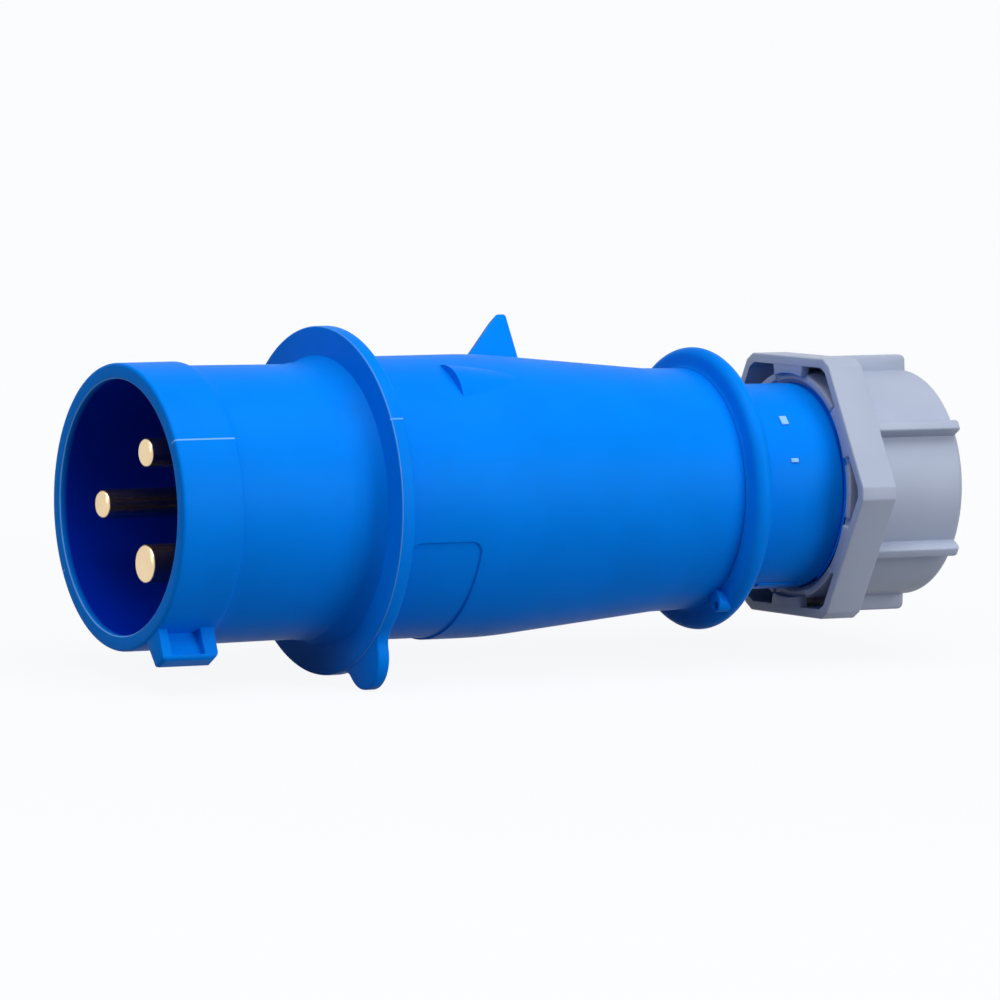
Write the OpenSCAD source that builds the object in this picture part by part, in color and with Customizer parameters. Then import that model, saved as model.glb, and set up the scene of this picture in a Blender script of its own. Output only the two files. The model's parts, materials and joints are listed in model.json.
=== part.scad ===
// Industrial pin and sleeve plug, three pins, 32 A.
// The axis runs along X with the mating end towards -X. Inside the file the
// plug is drawn with its rim at x = 0 and its key straight down. At the end
// it is rolled until flange and lobe both touch the surface it lies on.

/* [Mating end] */
// Radius of the collar round the mouth of the shroud
collar_r = 29; // [28.6:0.1:29.6]
// Length of that collar
collar_len = 13.6; // [13.4:0.1:16]
// Radius of the shroud behind the collar
shroud_r = 27.95; // [27.6:0.05:28.2]
// Radius of the mouth inside the rim
mouth_r = 25.8; // [25.4:0.05:26]
// Distance from the rim to the floor of the shroud
shroud_depth = 44.5; // [43:0.1:44.5]
// Outer radius of the guide key
key_r = 35.3; // [33:0.1:36]
// Width of the guide key near its tip
key_w = 4.1; // [3:0.1:6]

/* [Flange] */
// Radius of the hand guard flange
flange_r = 35.5; // [34:0.1:37]
// Thickness of the flange
flange_t = 3; // [2.4:0.1:3.4]
// Distance of the lobe's centre from the axis
lobe_c = 35.4; // [33:0.1:37]
// Radius of the lobe
lobe_r = 6.8; // [5:0.1:8]

/* [Handle] */
// Radius of the handle behind the flange
handle_r = 29.1; // [28.8:0.05:29.5]
// Radius of the handle where it meets the rear collar
handle_end_r = 25; // [24.9:0.05:25.4]
// Tip radius of the grip fin
fin_tip_r = 40.9; // [36:0.1:44]
// Thickness of the grip fin
fin_t = 4.2; // [3:0.1:6]
// Height of each thumb wedge over the handle
wedge_h = 1.6; // [0.8:0.05:2]
// Depth of the bare label panel
panel_depth = 0.4; // [0.2:0.05:0.8]

/* [Rear housing] */
// Radius of the rear collar
rear_collar_r = 29.35; // [28.4:0.05:30]
// Radius of the threaded neck
neck_r = 21.4; // [21.2:0.05:21.6]

/* [Contacts] */
// Radius of the circle on which the pins stand
pin_circle_r = 12.9; // [12.8:0.05:13]
// Radius of the line pin and the neutral pin
pin_r = 3; // [2.9:0.05:3.1]
// Radius of the earth pin
earth_r = 4; // [3.9:0.05:4.1]

/* [Gland] */
// Half the width across the flats of the gland nut
nut_apothem = 27.1; // [26.8:0.05:27.4]
// Radius of the nut's cap behind the hexagon
cap_r = 23.6; // [23.4:0.05:24.2]
// Radius over the ribs of the cap
rib_tip_r = 26.8; // [25:0.1:27]
// Width of each rib
rib_w = 2.2; // [1.6:0.1:3]
// Radius of the hole through the sealing grommet
grommet_bore_r = 8.6; // [6:0.1:11]

/* [Hidden] */
$fn = 96;

blue = [0.03, 0.36, 0.86];
dark_grey = [0.16, 0.17, 0.19];
pale_grey = [0.62, 0.68, 0.76];
brass = [0.84, 0.67, 0.38];
steel = [0.62, 0.63, 0.65];
black_rubber = [0.07, 0.07, 0.08];

// Stations along the axis, from the rim
flange_x = 45.75;
flange_back = flange_x + flange_t;
septum_back = 49;
joint_x = 132;             // where the two housings meet
neck_x = 141.4;            // where the plain neck starts
neck_end = 172;
nut_x = 156.8;             // front of the gland nut
hex_back = 165;
plug_len = 186;

// Roll at which flange and lobe both touch the surface
lie_roll = acos((flange_r - lobe_r) / lobe_c);

// Angles of the three contacts round the axis, from the key
line_a = 120;
neutral_a = -120;
earth_a = 0;

wedge_a = 118.3;           // angle of each thumb wedge from the key
wall = 2.8;                // wall of the handle
spigot_gap = 0.1;          // between spigot and handle bore
spigot_bore = 22.8;        // bore of the handle's rear end
spigot_x = 119;            // front end of the spigot
lug_h = 1.15;              // height of a bayonet lug
lug_x = 122.4;             // front of the lugs
lug_len = 2.5;             // length of the lugs along the axis
lug_a = 13;                // angle that a lug covers
boss_a = 3;                // angle of the release boss from the key
tool_c = 28.1;             // distance of the tool hole from the axis
tool_r = 0.95;             // radius of the tool hole
seal_x = 128.8;            // middle of the housing seal
seal_groove_r = 21;
seal_rad = 0.87;

opening_r = 18.3;          // hole in the septum
carrier_r = 22.5;          // discs of the two insulators
insulator_x = 44;          // face of the front insulator
collar_x = 52;             // pin collars, front side
split_x = 55;              // where the insulators meet
tower_x = 58;              // back of the rear insulator's disc
tower_end = 77;
block_end = 79;            // rear end of the terminal blocks
wire_x = 63;               // bottom of the wire holes
wire_r = 2.6;
clamp_x = 70;              // middle of a terminal
clamp_len = 8;
clamp_w = 3;
clamp_t = 0.8;
clamp_top = 2.1;           // outer face of an open clamp plate, from its pin
screw_r = 2.4;
screw_len = 7.2;
tap_gap = 0.05;
shoulder = 0.5;            // step where a pin leaves the insulator
fixing_r = 20.2;           // circle of the carrier screws

lining_r = 18;             // bore of the neck round the grommet
grommet_x = 150.2;
grommet_len = 13.3;
finger_end = 179;
fingers = 12;

nut_turn = -1;             // the nut's flats against the key line
hex_corner_r = 30.5;       // radius over the cut corners
sleeve_r = 24;             // outer radius of the threaded sleeve
tab_r = 23.4;
strip_r = 22.3;
rib_count = 6;

// ---- helpers ----

// Points of an arc in the (x, r) plane
function arc(cx, cr, rad, a0, a1, n = 8) =
    [for (i = [0:n]) let (a = a0 + (a1 - a0) * i / n) [cx + rad * cos(a), cr + rad * sin(a)]];

// A closed outline of [x, r] points spun about the X axis
module turned(outline) {
    rotate([0, 90, 0]) rotate_extrude() polygon([for (p = outline) [p[1], p[0]]]);
}

// A plain ring about the X axis
module ring(x0, x1, r_in, r_out) {
    turned([[x0, r_in], [x1, r_in], [x1, r_out], [x0, r_out]]);
}

// A rod along X that starts at x0
module rod(x0, x1, r) {
    translate([x0, 0, 0]) rotate([0, 90, 0]) cylinder(h = x1 - x0, r = r);
}

// Turns what points down to the angle a round the axis, from the key
module turn_to(a) {
    rotate([-a, 0, 0]) children();
}

// Moves a piece drawn on the axis to the pin circle at the angle a
module at_pin(a) {
    turn_to(a) translate([0, 0, -pin_circle_r]) children();
}

// A sector of a ring, centred on the angle a and half_a wide to each side
module sector(x0, x1, r_in, r_out, a, half_a) {
    reach = 2 * r_out;
    steps = ceil(half_a / 30);
    intersection() {
        ring(x0, x1, r_in, r_out);
        turn_to(a) translate([x0 - 1, 0, 0]) rotate([0, 90, 0]) linear_extrude(x1 - x0 + 2)
            polygon(concat([[0, 0]],
                [for (i = [-steps:steps]) let (t = half_a * i / steps) reach * [cos(t), sin(t)]]));
    }
}

// A plate in the (x, r) plane, pointing down, t thick
module fin_plate(outline, t) {
    rotate([90, 0, 0]) linear_extrude(t, center = true)
        polygon([for (p = outline) [p[0], -p[1]]]);
}

// Lays the plug down and moves its middle to the origin
module lying() {
    translate([-plug_len / 2, 0, flange_r]) rotate([-lie_roll, 0, 0]) children();
}

// ---- housings ----

function shroud_outline() = concat(
    [[0, mouth_r + 0.4]],
    arc(0.8, collar_r - 0.8, 0.8, 180, 90, 5),
    [[collar_len, collar_r], [collar_len + 0.35, shroud_r + 0.3], [34, shroud_r]],
    // the flare in front of the flange
    arc(40.5, shroud_r + 10.2, 10.2, -90, -59, 5)
);

function flange_outline() = concat(
    [[flange_x, shroud_r + 1.5]],
    [[flange_x, flange_r - 0.35], [flange_x + 0.3, flange_r]],
    [[flange_back - 0.35, flange_r], [flange_back, flange_r - 0.35]],
    arc(flange_back + 1.5, handle_r + 1.5, 1.5, 180, 270, 5)
);

function handle_outline() = concat(
    // straight, then bent into the taper
    arc(76, handle_r - 125, 125, 90, 84.5, 6),
    [[122, handle_end_r + 0.25], [joint_x, handle_end_r]]
);

function front_bore() = [
    [joint_x, spigot_bore + 0.3], [joint_x - 0.3, spigot_bore], [117, spigot_bore],
    [114, 26 - wall], [88, handle_r - 0.6 - wall], [76, handle_r - wall],
    [septum_back, handle_r - wall], [septum_back, opening_r],
    [shroud_depth, opening_r], [shroud_depth, mouth_r - 0.4],
    [0.4, mouth_r]
];

// The guide key: it tapers to a round tip and has a pocket in each flank
module guide_key() {
    front = 0.3;
    back = 12.7;
    root = collar_r - 2;
    edge = 1;
    draft = 9;
    tip_half = key_w / 2 - edge;
    root_half = key_w / 2 + (key_r - edge - root) * tan(draft);
    web = 1.9;
    pocket = [2.2, 7.7];
    pocket_end = key_r - 1;
    difference() {
        intersection() {
            fin_plate(concat(
                [[front, root]],
                arc(front + 0.8, key_r - 0.8, 0.8, 180, 90, 3),
                arc(back - 1.5, key_r - 1.5, 1.5, 90, 0, 4),
                [[back, root]]), 3 * key_w);
            rotate([0, 90, 0]) linear_extrude(2 * back) polygon(concat(
                [[root, -root_half]],
                arc(key_r - edge, -tip_half, edge, draft - 90, 0, 5),
                arc(key_r - edge, tip_half, edge, 0, 90 - draft, 5),
                [[root, root_half]]));
        }
        for (y = [web / 2, -web / 2 - key_w])
            translate([pocket[0], y, -pocket_end])
                cube([pocket[1], key_w, pocket_end - root + 1]);
    }
}

// The ear on the flange, with a fillet on each side
module lobe() {
    fillet = 4;
    near = flange_r + fillet;
    far = lobe_r + fillet;
    fx = (near * near - far * far + lobe_c * lobe_c) / (2 * lobe_c);
    fy = sqrt(near * near - fx * fx);
    translate([flange_x + 0.3, 0, 0]) rotate([0, 90, 0]) linear_extrude(flange_t - 0.3) {
        translate([lobe_c, 0]) circle(lobe_r);
        for (side = [-1, 1])
            difference() {
                polygon([[handle_r, 0], [lobe_c, 0], [fx, side * fy]]);
                translate([fx, side * fy]) circle(fillet);
            }
    }
}

// The triangular grip fin opposite the key
module grip_fin() {
    front_x = 84.6;
    tip_x = 98.4;
    back_x = 100.15;
    turn_to(180) fin_plate([
        [front_x, handle_r - 1.9], [tip_x, fin_tip_r], [back_x - 0.2, fin_tip_r],
        [back_x, fin_tip_r - 0.4], [back_x, handle_r - 3.6]], fin_t);
}

// A wedge for the thumb: a slanting rod that sinks into the handle
module thumb_wedge(a) {
    wedge_x = 68.5;
    wedge_rad = 8.7;
    slope = 7.2;
    difference() {
        turn_to(a) translate([wedge_x, 0, -(handle_r + wedge_h - wedge_rad)])
            rotate([0, -slope, 0]) rod(-3, 17, wedge_rad);
        rod(wedge_x - 8, wedge_x, 60);
        // hollow behind the wall
        rod(wedge_x - 1, wedge_x + 30, handle_r - 1.7);
    }
}

// The shallow label panel with round corners, as a tool to be cut away
module label_panel() {
    x0 = 51.6;
    x1 = 68.4;
    half_w = handle_r * sin(44.5);
    corner = [2.4, 1.7];
    outline = [for (side = [[x1, 1, 0], [x0, 1, 90], [x0, -1, 180], [x1, -1, 270]], i = [0:5])
        let (a = side[2] + 18 * i, cx = side[0] + (side[0] == x0 ? corner[0] : -corner[0]))
            [cx + corner[0] * cos(a), side[1] * (half_w - corner[1]) + corner[1] * sin(a)]];
    intersection() {
        translate([0, 0, -handle_r - 2]) linear_extrude(handle_r) polygon(outline);
        ring(x0 - 2, x1 + 2, handle_r - panel_depth, handle_r + 1);
    }
}

module front_housing() {
    color(blue) difference() {
        union() {
            turned(concat(shroud_outline(), flange_outline(), handle_outline(), front_bore()));
            guide_key();
            lobe();
            grip_fin();
            for (a = [-wedge_a, wedge_a]) thumb_wedge(a);
        }
        label_panel();
        // pilot holes for the carrier screws
        for (a = [60, -60]) turn_to(a)
            translate([0, 0, -fixing_r]) rod(45.6, septum_back + 1, 1.5);
        // bayonet tracks: one run in, one run round
        for (a = [0, 120, 240]) {
            sector(lug_x - 0.4, joint_x + 1, 20, spigot_bore + lug_h + 0.15, a, lug_a / 2 + 1);
            sector(lug_x - 0.2, lug_x + lug_len + 0.1, 20, spigot_bore + lug_h + 0.1,
                a + 14, lug_a / 2 + 9);
        }
    }
}

function rear_outline() = concat(
    [[spigot_x, 20.4], [spigot_x, spigot_bore - 0.6], [spigot_x + 0.5, spigot_bore - spigot_gap]],
    // groove of the seal
    [[seal_x - 1, spigot_bore - spigot_gap], [seal_x - 1, seal_groove_r]],
    [[seal_x + 1, seal_groove_r], [seal_x + 1, spigot_bore - spigot_gap]],
    [[joint_x, spigot_bore - spigot_gap], [joint_x, handle_end_r], [joint_x + 0.3, handle_end_r + 0.5]],
    // the collar: flat front, round edge, hollow back
    [[joint_x + 0.45, rear_collar_r - 1.6]],
    arc(joint_x + 2.45, rear_collar_r - 2, 2, 165, 40, 7),
    [[joint_x + 5.4, 26.1]],
    arc(neck_x, neck_r + 3.2, 3.2, 205, 270, 6),
    [[neck_end - 0.9, neck_r], [neck_end, neck_r - 0.9]],
    [[neck_end, lining_r], [grommet_x, lining_r], [grommet_x, 15], [147.5, 15]],
    [[142, 18.6], [spigot_x + 3, 19.9]]
);

// A raised boss on the collar's face, beside the hole for the release tool
module release_boss() {
    boss_x = 130.5;
    boss_r = 1.9;
    inner_u = 26;
    outer_u = 27.4;
    difference() {
        turn_to(boss_a) translate([boss_x, 0, 0]) rotate([0, 90, 0]) linear_extrude(joint_x + 1 - boss_x) {
            for (u = [inner_u, outer_u]) translate([u, 0]) circle(boss_r);
            translate([inner_u, -boss_r]) square([outer_u - inner_u, 2 * boss_r]);
        }
        rod(120, joint_x, handle_end_r + 0.05);
    }
}

// A bar or mark on the neck, standing h over it
module neck_mark(x, a, len, w, h) {
    sunk = 1;
    turn_to(a) translate([x, -w / 2, -neck_r - h]) cube([len, w, h + sunk]);
}

module rear_housing() {
    color(blue) difference() {
        union() {
            turned(rear_outline());
            for (a = [0, 120, 240])
                sector(lug_x, lug_x + lug_len, 21.5, spigot_bore + lug_h - 0.1, a + 22, lug_a / 2);
            release_boss();
            // a guide rib and two plain setting marks on the neck
            neck_mark(144.5, -9.5, 10.4, 1.6, 0.35);
            neck_mark(145.6, 102, 1.9, 2.2, 0.3);
            neck_mark(145.4, 77, 2, 0.9, 0.3);
        }
        turn_to(boss_a) translate([0, 0, -tool_c]) rod(125, 140, tool_r);
    }
}

// Rubber ring in the groove of the spigot
module housing_seal() {
    color(black_rubber) turned([for (i = [0:23]) let (a = i * 15)
        [seal_x + seal_rad * cos(a), seal_groove_r + seal_rad + seal_rad * sin(a)]]);
}

// ---- contact carrier ----

// Radii of a contact: its shank, its collar and its terminal block
function shank(earth) = earth ? earth_r : pin_r;
function flare(earth) = earth ? 6.8 : 6.3;
function block(earth) = earth ? 6 : 5.4;

module each_pin() {
    for (a = [line_a, neutral_a, earth_a]) {
        $earth = a == earth_a;
        at_pin(a) children();
    }
}

// Carries the pins through the septum
module front_insulator() {
    color(dark_grey) difference() {
        turned([[insulator_x, 0], [insulator_x, opening_r - 0.6],
            [insulator_x + 0.5, opening_r - 0.1],
            [septum_back, opening_r - 0.1], [septum_back, carrier_r], [split_x, carrier_r],
            [split_x, 0]]);
        each_pin() {
            rod(insulator_x - 1, split_x + 1, shank($earth) + shoulder + tap_gap);
            rod(collar_x, split_x + 1, flare($earth) + tap_gap);
        }
        rod(51, split_x + 1, 1.75);
        for (a = [60, -60]) turn_to(a)
            translate([0, 0, -fixing_r]) rod(septum_back - 1, split_x + 1, 1.65);
    }
}

// Holds the pins from behind and walls off the three terminals
module rear_insulator() {
    color(dark_grey) difference() {
        union() {
            rod(split_x, tower_x, carrier_r);
            each_pin() rod(tower_x - 1, tower_end, block($earth) + 2.2);
        }
        each_pin() {
            rod(split_x - 1, tower_end + 1, block($earth) + tap_gap);
            // way in for the screwdriver
            translate([clamp_x, 0, -12]) cylinder(h = 12, r = screw_r + 0.35);
        }
        rod(split_x - 1, tower_x + 1, 1.75);
        for (a = [60, -60]) turn_to(a)
            translate([0, 0, -fixing_r]) rod(split_x - 1, tower_x + 1, 1.65);
    }
}

// A screw along X with its head at the rear and a slot in it
module fixing_screw(x0, x1, shank_r, head_r, head_h) {
    difference() {
        union() {
            rod(x0, x1 + 0.01, shank_r);
            turned([[x1, 0], [x1, head_r], [x1 + head_h - 0.5, head_r], [x1 + head_h, head_r - 0.6],
                [x1 + head_h, 0]]);
        }
        translate([x1 + head_h - 0.9, -head_r - 1, -0.4]) cube([2, 2 * head_r + 2, 0.8]);
    }
}

module insulator_screw() {
    color(steel) fixing_screw(51.5, tower_x, 1.7, 3, 2.3);
}

module carrier_screws() {
    color(steel) for (a = [60, -60]) turn_to(a)
        translate([0, 0, -fixing_r]) fixing_screw(46.2, tower_x, 1.45, 2.2, 2.1);
}

// A turned contact: pin, collar and terminal block with its wire hole
module contact(a, tip_x) {
    earth = a == earth_a;
    r = shank(earth);
    color(brass) at_pin(a) difference() {
        turned(concat(
            [[tip_x, 0]],
            arc(tip_x + 1, r - 1, 1, 180, 90, 5),
            [[insulator_x, r], [insulator_x, r + shoulder], [collar_x, r + shoulder]],
            [[collar_x, flare(earth)], [split_x, flare(earth)], [split_x, block(earth)]],
            [[block_end - 0.6, block(earth)], [block_end, block(earth) - 0.6]],
            [[block_end, wire_r], [wire_x, wire_r], [wire_x - 1, 0]]));
        translate([clamp_x, 0, -9]) cylinder(h = 9, r = screw_r + tap_gap);
    }
}

module line_pin() contact(line_a, 2.6);
module neutral_pin() contact(neutral_a, 2.6);
module earth_pin() contact(earth_a, 2.3);

// A plate that the terminal screw presses on the wire
module clamp(a) {
    color(steel) at_pin(a) translate([clamp_x - clamp_len / 2, -clamp_w / 2, -clamp_top])
        cube([clamp_len, clamp_w, clamp_t]);
}

module line_clamp() clamp(line_a);
module neutral_clamp() clamp(neutral_a);
module earth_clamp() clamp(earth_a);

// A headless slotted terminal screw, pointing away from the axis
module terminal_screw(a) {
    top = clamp_top + tap_gap + screw_len;
    color(steel) at_pin(a) translate([clamp_x, 0, 0]) difference() {
        rotate([180, 0, 0]) rotate_extrude() polygon([
            [0, clamp_top + tap_gap], [screw_r - 0.5, clamp_top + tap_gap],
            [screw_r, clamp_top + 0.5], [screw_r, top - 0.4], [screw_r - 0.4, top], [0, top]]);
        translate([-0.4, -4, -top - 1]) cube([0.8, 8, 2.3]);
    }
}

module line_screw() terminal_screw(line_a);
module neutral_screw() terminal_screw(neutral_a);
module earth_screw() terminal_screw(earth_a);

// ---- cable gland ----

// Soft sleeve that closes on the cable
module cable_grommet() {
    x0 = grommet_x;
    x1 = grommet_x + grommet_len;
    out = lining_r - 0.1;
    color(black_rubber) turned([
        [x0, grommet_bore_r + 1.2], [x0 + 1.2, grommet_bore_r], [x1 - 1.2, grommet_bore_r],
        [x1, grommet_bore_r + 1.2], [x1, out - 0.8], [x1 - 0.8, out], [x0 + 0.8, out],
        [x0, out - 0.8]]);
}

// Ring of tapered fingers that the nut bends on to the cable
module clamp_cage() {
    base_x = grommet_x + grommet_len;
    color(pale_grey) difference() {
        turned([[base_x, 14.6], [neck_end + 1.2, 15.4], [finger_end - 1, 12.9], [finger_end, 13.1],
            [finger_end, 14.6], [neck_end + 1.2, 17.6], [neck_end + 1.2, 19.2], [neck_end, 19.2],
            [neck_end, lining_r - 0.1], [base_x, lining_r - 0.1]]);
        for (i = [0:fingers / 2 - 1]) rotate([i * 360 / fingers, 0, 0])
            translate([neck_end + 1.6, -0.7, -25]) cube([10, 1.4, 50]);
    }
}

// Turns in the nut's end and pushes on the fingers
module thrust_ring() {
    color(pale_grey) turned([[182.05, 13.2], [182.65, 12.6], [184.15, 12.6], [184.15, 16.52],
        [182.05, 16.52]]);
}

// Outline of the hexagon: flats at apothem, corners cut square at corner_r
function cut_hex(apothem, corner_r) =
    [for (i = [0:5], side = [-1, 1]) let (
        c = 60 * i,
        half = corner_half(apothem, corner_r)
    ) [corner_r * cos(c) - side * half * sin(c), corner_r * sin(c) + side * half * cos(c)]];

// Half the width of such a cut corner
function corner_half(apothem, corner_r) = (apothem / cos(30) - corner_r) * tan(60);

module nut_hex() {
    skin = 1.9;
    pocket_end = 163.3;
    difference() {
        translate([nut_x, 0, 0]) rotate([0, 90, 0]) linear_extrude(hex_back - nut_x)
            polygon(cut_hex(nut_apothem, hex_corner_r));
        // hollow corners, open at the front
        difference() {
            translate([nut_x - 1, 0, 0]) rotate([0, 90, 0]) linear_extrude(pocket_end - nut_x + 1)
                polygon(cut_hex(nut_apothem - skin, hex_corner_r - 2));
            rod(158.7, hex_back, sleeve_r);
            // a tab at the middle of each flat
            for (i = [0:5]) sector(nut_x, 158.8, tab_r, 29, 60 * i + 90, 13);
            // the front lips of the sleeve, seen in the corners
            for (i = [0:5]) sector(157.7, 158.8, strip_r, sleeve_r, 60 * i + 60, 14);
        }
    }
}

module gland_nut() {
    edge = 1.5;
    color(pale_grey) rotate([-nut_turn, 0, 0]) difference() {
        union() {
            nut_hex();
            turned(concat(
                [[hex_back - 2, 15], [hex_back - 2, cap_r + 0.8], [hex_back, cap_r + 0.8]],
                [[hex_back + 0.8, cap_r]],
                arc(plug_len - edge, cap_r - 0.05 - edge, edge, 90, 0, 5),
                [[plug_len, 12.4], [184.2, 12.4]]));
            for (i = [0:rib_count - 1]) turn_to(60 * i + 90)
                fin_plate(concat(
                    [[hex_back - 1, cap_r - 1], [hex_back - 1, rib_tip_r]],
                    arc(plug_len - 1.9, rib_tip_r - 1.2, 1.2, 90, 0, 4),
                    [[plug_len - 0.7, cap_r - 1]]), rib_w);
        }
        // thread bore, run-out, seat of the fingers, pocket of the thrust ring
        turned([[nut_x - 1, 0], [nut_x - 1, strip_r], [158.1, strip_r], [158.7, neck_r + 0.08],
            [169, neck_r + 0.08], [169, 21.9], [175.8, 21.9], [177, 19.8], [181.5, 15.7],
            [182, 15.7], [182, 16.6], [184.2, 16.6], [184.2, 12.4], [plug_len + 1, 12.4],
            [plug_len + 1, 0]]);
    }
}

lying() front_housing();
lying() rear_housing();
lying() housing_seal();
lying() front_insulator();
lying() rear_insulator();
lying() insulator_screw();
lying() carrier_screws();
lying() line_pin();
lying() neutral_pin();
lying() earth_pin();
lying() line_clamp();
lying() neutral_clamp();
lying() earth_clamp();
lying() line_screw();
lying() neutral_screw();
lying() earth_screw();
lying() cable_grommet();
lying() clamp_cage();
lying() thrust_ring();
lying() gland_nut();
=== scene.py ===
import json
from math import atan2, ceil, cos, degrees, pi, radians, sin, sqrt, tan

import bmesh
import bpy
from bpy.props import FloatProperty, FloatVectorProperty, IntProperty, PointerProperty
from mathutils import Matrix, Vector

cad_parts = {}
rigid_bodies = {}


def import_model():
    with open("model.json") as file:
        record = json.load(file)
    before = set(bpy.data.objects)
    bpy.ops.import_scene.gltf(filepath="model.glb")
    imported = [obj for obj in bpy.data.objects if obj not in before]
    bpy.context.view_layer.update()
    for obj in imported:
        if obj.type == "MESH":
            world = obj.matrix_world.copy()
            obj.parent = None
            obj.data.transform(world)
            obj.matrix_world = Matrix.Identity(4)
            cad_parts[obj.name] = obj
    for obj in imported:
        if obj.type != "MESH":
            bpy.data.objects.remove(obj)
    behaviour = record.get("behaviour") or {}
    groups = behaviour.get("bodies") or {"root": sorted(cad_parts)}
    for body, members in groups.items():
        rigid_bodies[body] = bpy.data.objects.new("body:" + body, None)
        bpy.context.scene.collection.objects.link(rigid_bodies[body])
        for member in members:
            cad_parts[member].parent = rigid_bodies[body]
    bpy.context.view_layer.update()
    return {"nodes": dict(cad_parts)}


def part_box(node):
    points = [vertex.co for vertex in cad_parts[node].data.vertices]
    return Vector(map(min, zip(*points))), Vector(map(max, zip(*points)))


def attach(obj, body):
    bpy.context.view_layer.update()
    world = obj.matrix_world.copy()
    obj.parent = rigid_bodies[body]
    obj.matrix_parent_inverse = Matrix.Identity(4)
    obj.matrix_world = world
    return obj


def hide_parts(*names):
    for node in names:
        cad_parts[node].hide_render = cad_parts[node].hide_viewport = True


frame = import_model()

bl_info = {
    "name": "Pin and sleeve plug",
    "version": (1, 0, 0),
    "blender": (4, 5, 0),
    "location": "3D View > Sidebar > Plug",
    "description": "Builds the moulded, turned and rubber pieces of an industrial plug on its frame",
    "category": "Object",
}

MM = 0.001

# The plug's own axes: x from the rim towards the cable, angles round the axis
# counted from the guide key. The frame gives where they lie.
RIM_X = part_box("front_housing")[0][0]
RING_LOW, RING_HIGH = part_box("thrust_ring")
AXIS_Z = (RING_LOW[2] + RING_HIGH[2]) / 2
EARTH_LOW, EARTH_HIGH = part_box("earth_pin")
EARTH_Y = (EARTH_LOW[1] + EARTH_HIGH[1]) / 2
EARTH_Z = (EARTH_LOW[2] + EARTH_HIGH[2]) / 2 - AXIS_Z
ROLL = atan2(-EARTH_Y, -EARTH_Z)
PIN_CIRCLE = sqrt(EARTH_Y ** 2 + EARTH_Z ** 2)
TO_FRAME = Matrix.Translation((RIM_X, 0, AXIS_Z)) @ Matrix.Rotation(-ROLL, 4, "X")


# ---- sizes and colours -------------------------------------------------

def length(name, description, mm):
    return FloatProperty(name=name, description=description, default=mm * MM,
                         unit="LENGTH", precision=5)


def angle(name, description, deg):
    return FloatProperty(name=name, description=description, default=radians(deg),
                         subtype="ANGLE")


def colour(name, description, rgb):
    return FloatVectorProperty(name=name, description=description, default=rgb,
                               subtype="COLOR", size=3, min=0, max=1)


class PlugHousing(bpy.types.PropertyGroup):
    collar_r: length("Collar radius", "Radius of the collar round the mouth", 29.0)
    collar_len: length("Collar length", "Length of the collar round the mouth", 13.6)
    shroud_r: length("Shroud radius", "Radius of the shroud behind the collar", 27.95)
    mouth_r: length("Mouth radius", "Radius of the mouth inside the rim", 25.8)
    floor_x: length("Shroud depth", "Distance from the rim to the septum", 44.5)
    key_r: length("Key radius", "Outer radius of the guide key", 35.3)
    key_w: length("Key width", "Width of the guide key near its tip", 4.1)
    flange_r: length("Flange radius", "Radius of the hand guard flange", 35.5)
    flange_x: length("Flange place", "Front face of the flange", 45.75)
    flange_t: length("Flange thickness", "Thickness of the flange", 3.0)
    lobe_c: length("Ear distance", "Distance of the ear's centre from the axis", 35.4)
    lobe_r: length("Ear radius", "Radius of the flange's ear", 6.8)
    handle_r: length("Handle radius", "Radius of the handle behind the flange", 29.1)
    handle_end_r: length("Handle end radius", "Radius where the handle meets the collar", 25.0)
    fin_r: length("Fin tip radius", "Outer radius of the grip fin", 40.9)
    fin_t: length("Fin thickness", "Thickness of the grip fin", 4.2)
    wedge_h: length("Wedge height", "Height of the thumb wedges over the handle", 1.6)
    wedge_a: angle("Wedge angle", "Angle of each thumb wedge from the key", 118.3)
    panel_depth: length("Panel depth", "Depth of the bare label panel", 0.4)
    panel_half: angle("Panel half angle", "Half the angle that the panel covers", 44.5)


class PlugRear(bpy.types.PropertyGroup):
    joint_x: length("Joint place", "Where the two housings meet", 132.0)
    collar_r: length("Rear collar radius", "Radius of the rear collar", 29.35)
    neck_r: length("Neck radius", "Radius of the neck", 21.4)
    thread_x: length("Thread start", "Where the neck's thread starts", 158.0)
    pitch: length("Pitch", "Pitch of the gland's thread", 3.0)
    turns: FloatProperty(name="Turns", description="Turns of thread on the neck", default=4.2)


class PlugNut(bpy.types.PropertyGroup):
    nut_x: length("Nut place", "Front face of the hexagon", 156.8)
    apothem: length("Apothem", "Half the width across the flats", 27.1)
    corner_r: length("Corner radius", "Radius over the cut corners", 30.5)
    skin: length("Skin", "Wall of the hollow corners", 1.9)
    cap_r: length("Cap radius", "Radius of the cap behind the hexagon", 23.6)
    rib_r: length("Rib radius", "Radius over the ribs", 26.8)
    rib_w: length("Rib width", "Width of each rib", 2.2)
    sides: IntProperty(name="Sides", description="Sides, tabs and ribs of the nut", default=6, min=3)
    turn: angle("Turn", "Angle of the flats against the key", -1.0)


class PlugColours(bpy.types.PropertyGroup):
    blue: colour("Housing blue", "Blue of the two housings", (0.0, 0.197, 0.80))
    # colour of the painted shade down in the shroud
    painted_shade_blue: colour("Deep blue", "Blue down in the shroud", (0.0, 0.02, 0.42))
    # painted highlight colour for the flash and sharp edges, and the pale colour of the neck marks
    highlight_and_mark_blue: colour("Edge blue", "Pale blue of flash, sharp edges and marks", (0.42, 0.72, 0.97))
    grey: colour("Gland grey", "Grey of the gland's pieces", (0.335, 0.385, 0.505))
    brass: colour("Contact brass", "Colour of the contacts", (0.86, 0.66, 0.40))
    steel: colour("Plated steel", "Colour of the screws and clamp plates", (0.60, 0.61, 0.62))
    dark: colour("Insulator", "Colour of the contact carrier", (0.012, 0.02, 0.055))
    rubber: colour("Rubber", "Colour of grommet and seal", (0.018, 0.018, 0.02))


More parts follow.
